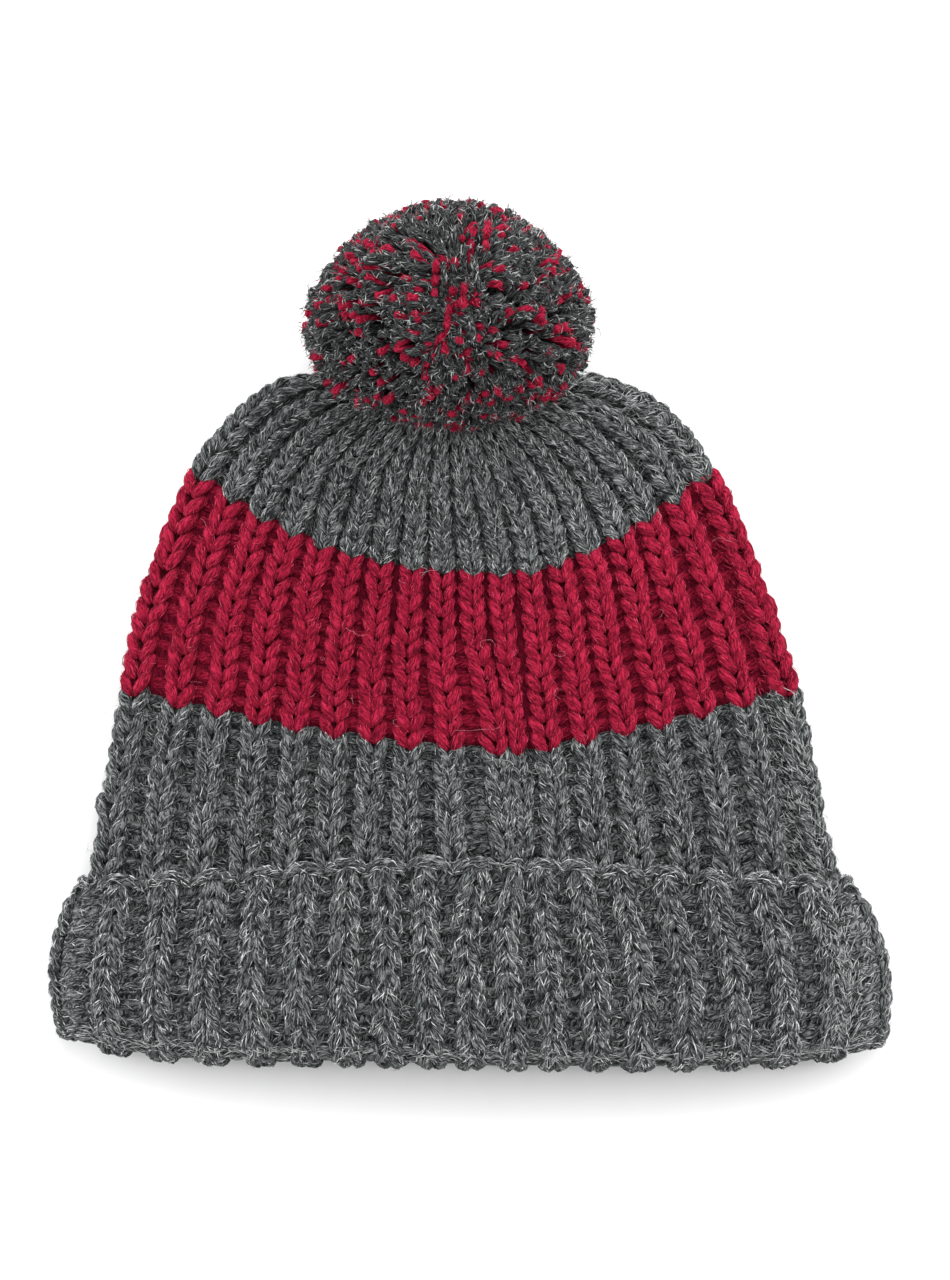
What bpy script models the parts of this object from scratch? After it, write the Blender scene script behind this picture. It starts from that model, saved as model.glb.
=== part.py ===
"""A rib-knitted wool beanie with a turned-up cuff and a yarn pompom, lying flat on its back.

Metres, +Z up. The hat lies on the plane Z = 0 with its crown towards +Y and its mouth towards -Y.
The origin is under the middle of the whole hat, on the surface that it lies on.

The knitted body is one flattened tube. A place on it is given by two shares: "down", from 0 at the
gathered tip of the crown to 1 at the fold of the cuff, and "round", from 0 at the left side fold
across the front to 0.5 at the right side fold and back across the underside to 1.
"""

import math
import random

import bmesh
import bpy
import numpy as np
from mathutils import Quaternion, Vector
from mathutils.bvhtree import BVHTree

# The knitted body, lying flat
BODY_LENGTH = 0.2052
BODY_WIDTH = 0.2424
BODY_LOFT = 0.0210
SIDE_FOLD = 0.0045
FABRIC_LENGTH = 0.2595

# The ribbed knit
RIBS = 36
WALL = 0.0036
RIB_DEPTH = 0.0024
CREST_WIDTH = 0.44
COLOUR_STEP = 0.0024
PIECE_GAP = 0.0006
FOLD_GAP = 0.0007

# The red stripe, in shares of the way down the body
STRIPE_TOP = 0.325
STRIPE_BOTTOM = 0.600

# The turned-up cuff
CUFF_HEIGHT_MIDDLE = 0.0549
CUFF_HEIGHT_SIDE = 0.0441
CUFF_GAP = 0.0007
PRESSED = 0.0002
DRAPE_START = 0.002
DRAPE_LENGTH = 0.030

# The way the ribs bunch in the middle of a face, and one rib of the front that has slipped sideways
RIB_BUNCHING = 0.12
SLIP_PLACE = 0.525
SLIP_WIDTH = 0.033
SLIP = 0.030
SLIP_START = (0.33, 0.63)
SLIP_END = (0.74, 0.86)

# The pompom. Its reach is from the crown's tip to its own middle.
POMPOM_WIDTH = 0.0906
POMPOM_LENGTH = 0.0710
POMPOM_HEIGHT = 0.0760
POMPOM_REACH = 0.0148
POMPOM_SQUASH = 0.0040
POMPOM_EGG = 0.10
POMPOM_CORE = 0.80
POMPOM_SEAT_GAP = 0.0009
LOCK_RAGGEDNESS = 0.035
LOCK_TAPER = 0.0016
POMPOM_SEED = 11
SEAT_FAN = ((0.0, 1), (0.07, 8), (0.14, 12))

# Sections down the body. "down" is the share of the fabric from the gathered tip to the fold.
# half_width and lean are shares of half the body's width.
# side_y and middle_y are shares of the body's length above the fold, at the side folds and in the middle.
# loft is a share of the body's loft, and fold and rib are shares of the full side fold and rib depth.
# lowest is the place of a row's lowest point, in half widths from the middle, and smile_left and
# smile_right are the powers of the curves on its two sides.
SECTION_COLUMNS = (
    "down", "half_width", "lean", "side_y", "middle_y", "loft", "fold", "rib", "lowest", "smile_left", "smile_right",
)
SECTIONS = (
    (0.000, 0.000, -0.054, 1.000, 1.000, 0.00, 0.00, 0.00, 0.00, 3.0, 3.0),
    (0.035, 0.089, -0.054, 0.998, 0.966, 0.50, 0.80, 0.18, 0.00, 3.0, 3.0),
    (0.090, 0.235, -0.054, 0.991, 0.908, 0.64, 0.95, 0.40, 0.05, 3.2, 3.2),
    (0.166, 0.418, -0.052, 0.974, 0.830, 0.76, 1.00, 0.62, 0.12, 3.2, 2.8),
    (0.238, 0.532, -0.045, 0.930, 0.760, 0.85, 1.00, 0.80, 0.20, 2.7, 2.0),
    (0.325, 0.636, -0.041, 0.849, 0.693, 0.92, 1.00, 0.92, 0.26, 2.6, 1.5),
    (0.465, 0.755, -0.038, 0.689, 0.561, 0.99, 1.00, 1.00, 0.22, 2.1, 1.4),
    (0.600, 0.832, -0.026, 0.529, 0.433, 1.00, 1.00, 1.00, 0.18, 1.7, 1.2),
    (0.816, 0.921, -0.014, 0.254, 0.197, 0.96, 1.00, 1.00, 0.10, 2.2, 2.0),
    (0.934, 0.988, 0.000, 0.111, 0.070, 0.91, 1.00, 1.00, 0.00, 3.0, 3.0),
    (1.000, 0.980, 0.004, 0.029, 0.000, 0.86, 1.00, 1.00, 0.00, 5.0, 5.0),
)

# Rings of points round each wall, as shares down the body, and the steps round the fold of the cuff
CROWN_RINGS = (0.035, 0.090, 0.166, 0.238)
STRIPE_RINGS = (0.417, 0.508)
BAND_RINGS = (0.680, 0.770, 0.880)
FOLD_ANGLES = (0, 50, 90, 130, 180)
CUFF_RINGS = (0.30, 0.62)

FOLD_ARC = math.radians(80)
POINTS_PER_RIB = 3
GRID_DOWN = 241
GRID_ROUND = 721
SECTION_SAMPLES = 181

HALF_THICKNESS = (WALL + RIB_DEPTH) / 2
LAYER_PITCH = WALL + RIB_DEPTH + CUFF_GAP
FOLD_BULGE = LAYER_PITCH / 2 + HALF_THICKNESS
HAT_LENGTH = FOLD_BULGE + BODY_LENGTH + POMPOM_REACH + POMPOM_LENGTH / 2
FOLD_Y = -HAT_LENGTH / 2 + FOLD_BULGE
HEM_Y = FOLD_Y + CUFF_HEIGHT_MIDDLE
ROUND_POINTS = RIBS * POINTS_PER_RIB

GREY = (0.095, 0.101, 0.104, 1.0)
RED = (0.216, 0.010, 0.029, 1.0)


def section_value(column, down):
    """The named column of SECTIONS at these shares down the body, on a smooth curve through its rows."""
    table = np.array(SECTIONS)
    knots = table[:, 0]
    values = table[:, SECTION_COLUMNS.index(column)]
    slopes = np.gradient(values, knots)
    k = np.clip(np.searchsorted(knots, down, side="right") - 1, 0, len(knots) - 2)
    step = knots[k + 1] - knots[k]
    s = (down - knots[k]) / step
    return (
        values[k] * (1 + 2 * s) * (1 - s) ** 2
        + values[k + 1] * s * s * (3 - 2 * s)
        + slopes[k] * step * s * (1 - s) ** 2
        + slopes[k + 1] * step * s * s * (s - 1)
    )


def smoothstep(value):
    s = np.clip(value, 0.0, 1.0)
    return s * s * (3 - 2 * s)


def row_of_fabric(down, angle):
    """Points of one row of stitches. The angle runs 0 to pi over the front and on to 2 pi underneath.

    The underside lies flat, the side folds are round, and the front arches between them.
    """
    half_width = section_value("half_width", down) * BODY_WIDTH / 2
    fold_radius = section_value("fold", down) * SIDE_FOLD
    into_face = np.clip((angle % np.pi - FOLD_ARC) / (np.pi - 2 * FOLD_ARC), 0, 1)
    front = angle % (2 * np.pi) < np.pi
    straight = np.where(front, 1, -1) * (2 * into_face - 1)
    across = straight - fold_radius / half_width * (straight + np.cos(angle)) if half_width else straight
    x = section_value("lean", down) * BODY_WIDTH / 2 + half_width * across

    side_y = section_value("side_y", down)
    middle_y = section_value("middle_y", down)
    lowest = section_value("lowest", down)
    to_left = np.clip((lowest - across) / (1 + lowest), 0, 1) ** section_value("smile_left", down)
    to_right = np.clip((across - lowest) / (1 - lowest), 0, 1) ** section_value("smile_right", down)
    y = FOLD_Y + BODY_LENGTH * (middle_y + (side_y - middle_y) * (to_left + to_right))

    arch = section_value("loft", down) * BODY_LOFT - 2 * fold_radius
    on_cuff = 1 - smoothstep((y - HEM_Y - DRAPE_START) / DRAPE_LENGTH)
    rest = HALF_THICKNESS - PRESSED + LAYER_PITCH * on_cuff
    over = np.where(front, arch * (1 - straight**2), 0.0)
    return np.stack([x, y, rest + SIDE_FOLD + fold_radius * np.sin(angle) + over], axis=-1)


def spread_of_ribs(share, down):
    """Moves shares of the way across the front so that its ribs bunch in the middle and one slips aside."""
    bunched = share + RIB_BUNCHING * np.sin(2 * np.pi * share) / (2 * np.pi)
    from_slip = (share - SLIP_PLACE) / SLIP_WIDTH
    begun = smoothstep((down - SLIP_START[0]) / (SLIP_START[1] - SLIP_START[0]))
    ended = smoothstep((down - SLIP_END[0]) / (SLIP_END[1] - SLIP_END[0]))
    return bunched + SLIP * begun * (1 - ended) * np.exp(-0.5 * from_slip**2)


def body_row(down, rounds):
    """Points of a row at these shares round the body, spaced by the length of the row itself."""
    points = np.empty((len(rounds), 3))
    for start, on_face in ((0.0, rounds < 0.5), (0.5, rounds >= 0.5)):
        angle = np.pi * (2 * start + np.linspace(0, 1, SECTION_SAMPLES))
        line = row_of_fabric(down, angle)
        steps = np.linalg.norm(np.diff(line, axis=0), axis=1)
        length = np.concatenate([[0.0], np.cumsum(steps)])
        share = spread_of_ribs(2 * (rounds[on_face] - start), down)
        wanted = np.interp(share * length[-1], length, angle)
        points[on_face] = row_of_fabric(down, wanted)
    return points


class KnitBody:
    """The middle surface of the knitted tube, as a fine grid of points and outward normals."""

    def __init__(self):
        self.downs = np.linspace(0, 1, GRID_DOWN)
        self.rounds = np.linspace(0, 1, GRID_ROUND)
        self.points = np.array([body_row(down, self.rounds) for down in self.downs])
        along = np.gradient(self.points, axis=0)
        wrapped = np.concatenate([self.points[:, -2:-1], self.points, self.points[:, 1:2]], axis=1)
        around = wrapped[:, 2:] - wrapped[:, :-2]
        normals = np.cross(along, around)
        normals[0] = (0, 1, 0)
        self.normals = normals / np.maximum(np.linalg.norm(normals, axis=2, keepdims=True), 1e-12)

    def read(self, grid, down, around):
        """The grid's value at these shares, between its four nearest points."""
        row = np.clip(down, 0, 1) * (GRID_DOWN - 1)
        column = (around % 1.0) * (GRID_ROUND - 1)
        r = np.minimum(row.astype(int), GRID_DOWN - 2)
        c = np.minimum(column.astype(int), GRID_ROUND - 2)
        s = (row - r)[:, None]
        t = (column - c)[:, None]
        upper = grid[r, c] * (1 - t) + grid[r, c + 1] * t
        lower = grid[r + 1, c] * (1 - t) + grid[r + 1, c + 1] * t
        return upper * (1 - s) + lower * s

    def point(self, down, around):
        return self.read(self.points, down, around)

    def normal(self, down, around):
        found = self.read(self.normals, down, around)
        return found / np.linalg.norm(found, axis=1, keepdims=True)

    def down_at(self, y, around):
        """The share down the body at which each of these columns of stitches passes a height y."""
        found = []
        for height, column in zip(y, around):
            heights = self.point(self.downs, np.full(GRID_DOWN, column))[:, 1]
            found.append(np.interp(-height, -heights, self.downs))
        return np.array(found)


def rib_columns(first):
    """Shares round the body and the rib wave, -1 in a valley and 1 on a crest, at each corner of each rib."""
    within = (0.0, (1 - CREST_WIDTH) / 2, (1 + CREST_WIDTH) / 2)
    wave = (-1.0, 1.0, 1.0)
    around = [(rib + first + corner) / RIBS for rib in range(RIBS) for corner in within]
    return np.array(around), np.array(wave * RIBS)


def body_ring(body, down, side, edge=0.0):
    """One ring of a body wall: side is 1 on its outer face and -1 on its inner one.

    edge is a step along the fabric, positive downwards. At an edge the crests reach further down.
    """
    around, wave = rib_columns(0.0)
    downs = np.full(ROUND_POINTS, down)
    if edge:
        from_fold = np.abs((2 * around + 0.5) % 1.0 - 0.5) / 2
        step = COLOUR_STEP / 2 * wave * smoothstep(from_fold * RIBS - 0.5)
        downs = downs + (edge + step) / FABRIC_LENGTH
    depth = RIB_DEPTH / 2 * wave * section_value("rib", downs)
    offset = (side * WALL / 2 + depth)[:, None]
    return body.point(downs, around) + body.normal(downs, around) * offset


def cuff_ring(body, place, side):
    """One ring of the cuff. place is an angle round its fold in degrees, or past 180 a share up to the hem.

    side is 1 on the face of the knit that shows on the body, which the fold turns inwards.
    """
    around, wave = rib_columns(0.5)
    ends = np.full(ROUND_POINTS, 1.0)
    depth = -RIB_DEPTH / 2 * wave
    start = body.point(ends, around)
    outward = body.normal(ends, around)
    if place <= 180:
        before = body.point(ends - 0.01, around)
        onward = (start - before) / np.linalg.norm(start - before, axis=1, keepdims=True)
        angle = math.radians(place)
        middle = start + outward * LAYER_PITCH / 2
        facing = outward * math.cos(angle) - onward * math.sin(angle)
        return middle - facing * LAYER_PITCH / 2 + facing * (side * WALL / 2 + depth)[:, None]
    share = place - 180
    half_width = section_value("half_width", 1.0) * BODY_WIDTH / 2
    across = np.clip(start[:, 0] / half_width, -1, 1)
    height = CUFF_HEIGHT_MIDDLE + (CUFF_HEIGHT_SIDE - CUFF_HEIGHT_MIDDLE) * across**2
    downs = body.down_at(start[:, 1] + share * height, around)
    outward = body.normal(downs, around)
    return body.point(downs, around) + outward * (LAYER_PITCH - side * WALL / 2 - depth)[:, None]


def pressed_flat(ring):
    """The ring with nothing below the surface that the hat lies on."""
    return np.stack([ring[:, 0], ring[:, 1], np.maximum(ring[:, 2], 0.0)], axis=-1)


def add_object(name, mesh, colour, roughness):
    material = bpy.data.materials.new(name)
    material.use_nodes = True
    shader = material.node_tree.nodes["Principled BSDF"]
    shader.inputs["Base Color"].default_value = colour
    shader.inputs["Roughness"].default_value = roughness
    shader.inputs["Metallic"].default_value = 0.0
    mesh.materials.append(material)
    obj = bpy.data.objects.new(name, mesh)
    bpy.data.collections["beanie"].objects.link(obj)
    return obj


def finish_mesh(name, bm, smooth):
    if bm.calc_volume(signed=True) < 0:
        bmesh.ops.reverse_faces(bm, faces=bm.faces)
    mesh = bpy.data.meshes.new(name)
    bm.to_mesh(mesh)
    bm.free()
    if smooth:
        mesh.shade_smooth()
        mesh.set_sharp_from_angle(angle=math.radians(50))
    return mesh


def add_band_of_knit(name, rings, colour):
    """A wall knitted in the round: a torus whose section is stretched over the rings.

    The rings follow each other round the wall's own section, down one face and up the other.
    """
    bpy.ops.mesh.primitive_torus_add(
        major_segments=ROUND_POINTS, minor_segments=len(rings), major_radius=1.0, minor_radius=0.25
    )
    torus = bpy.context.object
    bm = bmesh.new()
    bm.from_mesh(torus.data)
    bpy.data.objects.remove(torus)
    for vert in bm.verts:
        turn = math.atan2(vert.co.y, vert.co.x) / math.tau
        inner = math.atan2(vert.co.z, math.hypot(vert.co.x, vert.co.y) - 1.0) / math.tau
        ring = rings[round(inner * len(rings)) % len(rings)]
        vert.co = ring[round(turn * ROUND_POINTS) % ROUND_POINTS]
    return add_object(name, finish_mesh(name, bm, True), colour, 0.95)


def add_crown(body):
    """The gathered top: a sphere whose lower half is turned up inside it to make the inner face."""
    outer = [body_ring(body, down, 1) for down in CROWN_RINGS]
    outer.append(body_ring(body, STRIPE_TOP, 1, edge=-PIECE_GAP / 2))
    inner = [body_ring(body, down, -1) for down in CROWN_RINGS]
    inner.append(body_ring(body, STRIPE_TOP, -1, edge=-PIECE_GAP / 2))
    rings = [pressed_flat(ring) for ring in outer + inner[::-1]]
    tip = body.points[0, 0]
    poles = (tip + body.normals[0, 0] * WALL / 2, tip - body.normals[0, 0] * WALL / 2)

    bm = bmesh.new()
    bmesh.ops.create_uvsphere(bm, u_segments=ROUND_POINTS, v_segments=len(rings) + 1, radius=1.0)
    for vert in bm.verts:
        turn = math.atan2(vert.co.y, vert.co.x) / math.tau
        level = round(math.acos(max(-1.0, min(1.0, vert.co.z))) / math.pi * (len(rings) + 1))
        if level == 0:
            vert.co = poles[0]
        elif level == len(rings) + 1:
            vert.co = poles[1]
        else:
            vert.co = rings[level - 1][round(turn * ROUND_POINTS) % ROUND_POINTS]
    return add_object("crown", finish_mesh("crown", bm, True), GREY, 0.95)


def add_body_band(body, name, downs, edges, colour):
    """A coloured band of the body between two shares down it, with the steps at its two edges."""
    faces = []
    for side in (1, -1):
        rings = [body_ring(body, downs[0], side, edge=edges[0])]
        rings += [body_ring(body, down, side) for down in downs[1:-1]]
        rings.append(body_ring(body, downs[-1], side, edge=edges[1]))
        faces.append([pressed_flat(ring) for ring in rings])
    return add_band_of_knit(name, faces[0] + faces[1][::-1], colour)


def add_cuff(body):
    places = FOLD_ANGLES + tuple(180 + share for share in (*CUFF_RINGS, 1.0))
    facing_in = [pressed_flat(cuff_ring(body, place, 1)) for place in places]
    facing_out = [pressed_flat(cuff_ring(body, place, -1)) for place in places]
    return add_band_of_knit("cuff", facing_in + facing_out[::-1], GREY)


def add_pompom(crown):
    """Cut yarn in short locks round a core, squashed where it sits on the crown and on the surface."""
    ragged = random.Random(POMPOM_SEED)
    half = Vector((POMPOM_WIDTH / 2, POMPOM_LENGTH / 2, POMPOM_HEIGHT / 2))
    tip_x = section_value("lean", 0.0) * BODY_WIDTH / 2
    middle = Vector((tip_x, FOLD_Y + BODY_LENGTH + POMPOM_REACH, half.z - POMPOM_SQUASH))
    under = BVHTree.FromPolygons(
        [vert.co for vert in crown.data.vertices], [face.vertices for face in crown.data.polygons]
    )

    def reach(direction, share):
        """How far a lock goes in this direction before it meets the crown or the surface."""
        ball = Vector([a * b for a, b in zip(direction, half)])
        ball.x *= 1 - POMPOM_EGG * direction.y
        full = ball.length * share
        ball.normalize()
        sideways = ball.orthogonal().normalized()
        for tilt, turns in SEAT_FAN:
            for turn in range(turns):
                lean = sideways.copy()
                lean.rotate(Quaternion(ball, math.tau * turn / turns))
                hit = under.ray_cast(middle, (ball + lean * tilt).normalized())
                if hit[0] is not None:
                    full = min(full, hit[3] - POMPOM_SEAT_GAP)
        if ball.z < 0:
            full = min(full, middle.z / -ball.z)
        return middle + ball * full

    bm = bmesh.new()
    bmesh.ops.create_icosphere(bm, subdivisions=3, radius=1.0)
    roots = set(bm.verts)
    bmesh.ops.inset_individual(bm, faces=bm.faces[:], thickness=LOCK_TAPER / half.z, use_even_offset=True)
    lock_share = {}
    for vert in bm.verts:
        if vert not in roots:
            cut = next(face for face in vert.link_faces if roots.isdisjoint(face.verts))
            share = lock_share.setdefault(cut.index, 1 - ragged.uniform(0, 2 * LOCK_RAGGEDNESS))
            vert.co = reach(vert.co.normalized(), share)
    for vert in roots:
        vert.co = reach(vert.co.normalized(), POMPOM_CORE)
    return add_object("pompom", finish_mesh("pompom", bm, False), GREY, 1.0)


def build():
    for obj in list(bpy.data.objects):
        bpy.data.objects.remove(obj)
    bpy.context.scene.collection.children.link(bpy.data.collections.new("beanie"))
    body = KnitBody()
    half_gap = PIECE_GAP / 2
    crown = add_crown(body)
    stripe_downs = (STRIPE_TOP, *STRIPE_RINGS, STRIPE_BOTTOM)
    add_body_band(body, "stripe", stripe_downs, (half_gap, -half_gap), RED)
    last = 1 - FOLD_GAP / FABRIC_LENGTH
    add_body_band(body, "band", (STRIPE_BOTTOM, *BAND_RINGS, last), (half_gap, 0.0), GREY)
    add_cuff(body)
    add_pompom(crown)


build()
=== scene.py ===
"""The looks of a rib-knitted wool beanie with a turned-up cuff and a yarn pompom, lying on its back.

The knit is laid stitch by stitch on the same surface that the part's walls follow. A stitch is two
legs of yarn in a V and a purl bump is two arcs. Each of them is a copy of a closed length of yarn, bent
to its path.
"""

import math

import bpy
import numpy as np
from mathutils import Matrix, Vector
from mathutils.bvhtree import BVHTree


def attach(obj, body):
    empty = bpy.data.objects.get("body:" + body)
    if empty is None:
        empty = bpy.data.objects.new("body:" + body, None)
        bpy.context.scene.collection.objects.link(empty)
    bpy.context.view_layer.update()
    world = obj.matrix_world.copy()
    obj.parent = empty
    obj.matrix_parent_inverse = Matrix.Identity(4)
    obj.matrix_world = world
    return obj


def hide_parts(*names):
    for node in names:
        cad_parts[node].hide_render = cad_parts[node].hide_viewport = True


# The knitted body, lying flat
BODY_LENGTH = 0.2052
BODY_WIDTH = 0.2424
BODY_LOFT = 0.0210
SIDE_FOLD = 0.0045

# The ribbed knit
RIBS = 36
WALL = 0.0036
RIB_DEPTH = 0.0024

# The red stripe, in shares of the way down the body
STRIPE_TOP = 0.325
STRIPE_BOTTOM = 0.600

# The turned-up cuff
CUFF_HEIGHT_MIDDLE = 0.0549
CUFF_HEIGHT_SIDE = 0.0441
CUFF_GAP = 0.0007
PRESSED = 0.0002
DRAPE_START = 0.002
DRAPE_LENGTH = 0.030

# The way the ribs bunch in the middle of a face, and one rib of the front that has slipped sideways
RIB_BUNCHING = 0.12
SLIP_PLACE = 0.525
SLIP_WIDTH = 0.033
SLIP = 0.030
SLIP_START = (0.33, 0.63)
SLIP_END = (0.74, 0.86)

# The pompom. Its reach is from the crown's tip to its own middle.
POMPOM_WIDTH = 0.0906
POMPOM_LENGTH = 0.0710
POMPOM_HEIGHT = 0.0760
POMPOM_REACH = 0.0148
POMPOM_SQUASH = 0.0040

# Sections down the body, as in the part: shares of the fabric's length, of half the body's width, of the
# body's length above the fold, of its loft and of its side fold, and the curve of a row of stitches.
SECTION_COLUMNS = (
    "down", "half_width", "lean", "side_y", "middle_y", "loft", "fold", "lowest", "smile_left", "smile_right"
)
SECTIONS = (
    (0.000, 0.000, -0.054, 1.000, 1.000, 0.00, 0.00, 0.00, 3.0, 3.0),
    (0.035, 0.089, -0.054, 0.998, 0.966, 0.50, 0.80, 0.00, 3.0, 3.0),
    (0.090, 0.235, -0.054, 0.991, 0.908, 0.64, 0.95, 0.05, 3.2, 3.2),
    (0.166, 0.418, -0.052, 0.974, 0.830, 0.76, 1.00, 0.12, 3.2, 2.8),
    (0.238, 0.532, -0.045, 0.930, 0.760, 0.85, 1.00, 0.20, 2.7, 2.0),
    (0.325, 0.636, -0.041, 0.849, 0.693, 0.92, 1.00, 0.26, 2.6, 1.5),
    (0.465, 0.755, -0.038, 0.689, 0.561, 0.99, 1.00, 0.22, 2.1, 1.4),
    (0.600, 0.832, -0.026, 0.529, 0.433, 1.00, 1.00, 0.18, 1.7, 1.2),
    (0.816, 0.921, -0.014, 0.254, 0.197, 0.96, 1.00, 0.10, 2.2, 2.0),
    (0.934, 0.988, 0.000, 0.111, 0.070, 0.91, 1.00, 0.00, 3.0, 3.0),
    (1.000, 0.980, 0.004, 0.029, 0.000, 0.86, 1.00, 0.00, 5.0, 5.0),
)

# How far a side fold turns before the face begins, and how finely the fabric is worked out
FOLD_ARC = math.radians(80)
GRID_DOWN = 241
GRID_ROUND = 721
SECTION_SAMPLES = 181

HALF_THICKNESS = (WALL + RIB_DEPTH) / 2
LAYER_PITCH = WALL + RIB_DEPTH + CUFF_GAP
FOLD_BULGE = LAYER_PITCH / 2 + HALF_THICKNESS
HAT_LENGTH = FOLD_BULGE + BODY_LENGTH + POMPOM_REACH + POMPOM_LENGTH / 2
FOLD_Y = -HAT_LENGTH / 2 + FOLD_BULGE
HEM_Y = FOLD_Y + CUFF_HEIGHT_MIDDLE

# Rows of stitches, counted from the gathered tip, and how finely the cuff's rows and the cloth behind each
# rib are worked out
CROWN_ROWS = 15
STRIPE_ROWS = 12
BAND_ROWS = 19
BAND_ROWS_SHOWN = 11
INNER_ROWS = 2
FOLD_ROWS = 3
CUFF_ROWS = 9
STEPS_PER_ROW = 12
HIDDEN_ROWS = 2
WALL_COLUMNS = 6

# How far the cuff is drawn in at the two sides of the hat, and further still at its hem
SIDE_PULL = 0.0046
HEM_PULL = 0.0036
HEM_PULL_ROWS = 2.2
HEM_RISE = 0.0010

# How far the fold lies up the body at its left corner, down at its right one, and up once more left of the
# middle. A corner's start and the last place and width are shares of the way from the middle to the side.
CORNER_LIFT = 0.0020
CORNER_DROP = 0.0014
CORNER_START = 2 / 7
LEFT_LIFT = 0.0020
LEFT_LIFT_PLACE = -0.32
LEFT_LIFT_WIDTH = 0.30

# How much flatter the stitches lie round the fold and at the two sides of the hem, and over how many rows.
# The fold's centre is a share of the way through its rows.
FOLD_FLATTENING = 0.28
FOLD_FLAT_ROWS = 1.5
FOLD_CENTRE = 0.6
HEM_FLATTENING = 0.55
HEM_FLAT_ROWS = 1.3

# Yarn paths. x is in millimetres across the rib, y in rows up from the stitch's tip, z in millimetres
# out from the middle of the wall, and the radius is in millimetres.
LEG_PATH = (
    (0.45, -0.46, 0.50, 0.00),
    (0.70, -0.26, 1.60, 1.15),
    (1.10, 0.02, 2.25, 1.46),
    (1.74, 0.34, 2.25, 1.58),
    (2.32, 0.66, 1.60, 1.52),
    (2.52, 0.98, 0.60, 1.20),
    (2.30, 1.16, -0.10, 0.00),
)
PURL_PATH = (
    (-4.20, -0.14, -1.90, 0.00),
    (-2.60, 0.12, -1.50, 1.20),
    (-0.90, 0.34, -1.20, 1.35),
    (0.90, 0.34, -1.20, 1.35),
    (2.60, 0.12, -1.50, 1.20),
    (4.20, -0.14, -1.90, 0.00),
)
HEM_PATH = (
    (-5.90, 0.62, 0.10, 0.00),
    (-4.20, 0.26, 1.10, 1.25),
    (-1.60, -0.02, 2.60, 1.42),
    (1.60, -0.02, 2.60, 1.42),
    (4.20, 0.26, 1.10, 1.25),
    (5.90, 0.62, 0.10, 0.00),
)
MILLIMETRE = 0.001

# The second arc of a purl bump mirrors the first about half this row, and lies this many millimetres deeper
SECOND_ARC_ROW = 0.50
SECOND_ARC_DEPTH = 0.25

# Where in a rib its column of V stitches lies, on the body and on the cuff. The cuff's stitches begin half
# a row early, and its purl bumps lie this many millimetres higher.
BODY_COLUMN = 0.5
CUFF_COLUMN = 0.0
CUFF_ROW_SHIFT = -0.5
CUFF_PURL_LIFT = 0.9

# How a stitch fills its rib. Where the ribs are gathered it is narrower, its height and thickness follow as
# powers of its width, and no purl bump shows between ribs closer than the open pitch.
STITCH_WIDTH = 0.0081
FILLED_SHARE = 0.95
WIDEST_STITCH = 1.24
USUAL_PITCH = 0.0118
OPEN_PITCH = 0.0098
ROW_HEIGHT = 0.0060
HEIGHT_POWER = 0.6
GIRTH_POWER = 0.8
PURL_SPREAD = 0.8

# How stitches differ: shares of their width and thickness, millimetres across and out, and rows down
WIDTH_VARIES = 0.05
GIRTH_VARIES = 0.08
SLIDE_VARIES = 0.17
RISE_VARIES = 0.14
DROP_VARIES = 0.045

# Waves in which the ribs wander: millimetres across, and radians for each row and each turn round the hat
WAVER = ((0.30, 0.7, 40.0), (0.22, 1.9, -97.0))

# The cloth behind the stitches, and how many metres of its pattern go round the hat and into each row
CLOTH_SWING = 0.0004
CLOTH_THICKNESS = 0.0011
BODY_CLOTH_DEPTH = 0.0007
CUFF_CLOTH_DEPTH = -0.0001
CLOTH_MAP = (0.5, 0.01)

# Fine hairs on the yarn. Lengths and girths are the least and most shares of the usual one, and the seat
# is a share of the yarn's radius. Yarn that faces down gets a quarter of the hairs, and a purl bump a third.
HAIR_LENGTH = 0.0035
HAIR_LENGTHS = (0.6, 1.5)
HAIR_RADIUS = 0.00015
HAIR_GIRTHS = (0.7, 1.3)
HAIR_SEAT = 1.02
HAIR_LIFT = 0.0008
HAIR_TWIST = 0.6
HAIR_TWIST_VARIES = 1.4
HAIR_ARC = 1.9
HAIR_INMOST = 0.05
FACES_DOWN = -0.25
FEWER_BELOW = 4
FEWER_ON_PURL = 3

# Hairs on each yarn of the cuff and of its hem, its loose hairs, and those along its right edge
CUFF_HAIRS = 20
HEM_HAIRS = 36
CUFF_STRAYS = 240
CUFF_SIDE_HAIRS = 230

# Loose hairs that wander over the knit, and stand up from it by a gamma draw of this shape. On the body they
# begin this share of a row lower than the stitches.
STRAY_LENGTH = 0.0075
STRAY_LENGTHS = (0.5, 1.5)
STRAY_RADIUS = 0.00005
STRAY_BEND = 3.6
STRAY_KINK = 0.35
STRAY_SEAT = 0.0025
STRAY_RISE_SHAPE = 1.6
STRAY_RISE = 0.8
STRAY_SHIFT = 0.3

# Hairs along the fold's front edge and the hat's right edge; in the pale wool they are a painted highlight.
# Heights are in millimetres, headings in radians from the row, and what lies across the hat is in shares of
# the way round it.
FUZZ_GIRTHS = (0.7, 1.2)
FUZZ_HEADING_VARIES = 0.35
FUZZ_HEIGHT_VARIES = 0.2
FUZZ_TIP_LIFT = 0.4
EDGE_HAIRS = 650
EDGE_ROW = INNER_ROWS + FOLD_ROWS - 0.45
EDGE_ROW_VARIES = 0.22
EDGE_SHARE_VARIES = 0.002
EDGE_HEIGHT = 2.1
EDGE_SWING = 1.0
SIDE_SHARE = 0.479
SIDE_SPREAD = 0.006
SIDE_HEADING = 1.1
SIDE_HEIGHT = 2.7
SIDE_SWING = 1.1
FIRST_SEEN_ROW = 6

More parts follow.
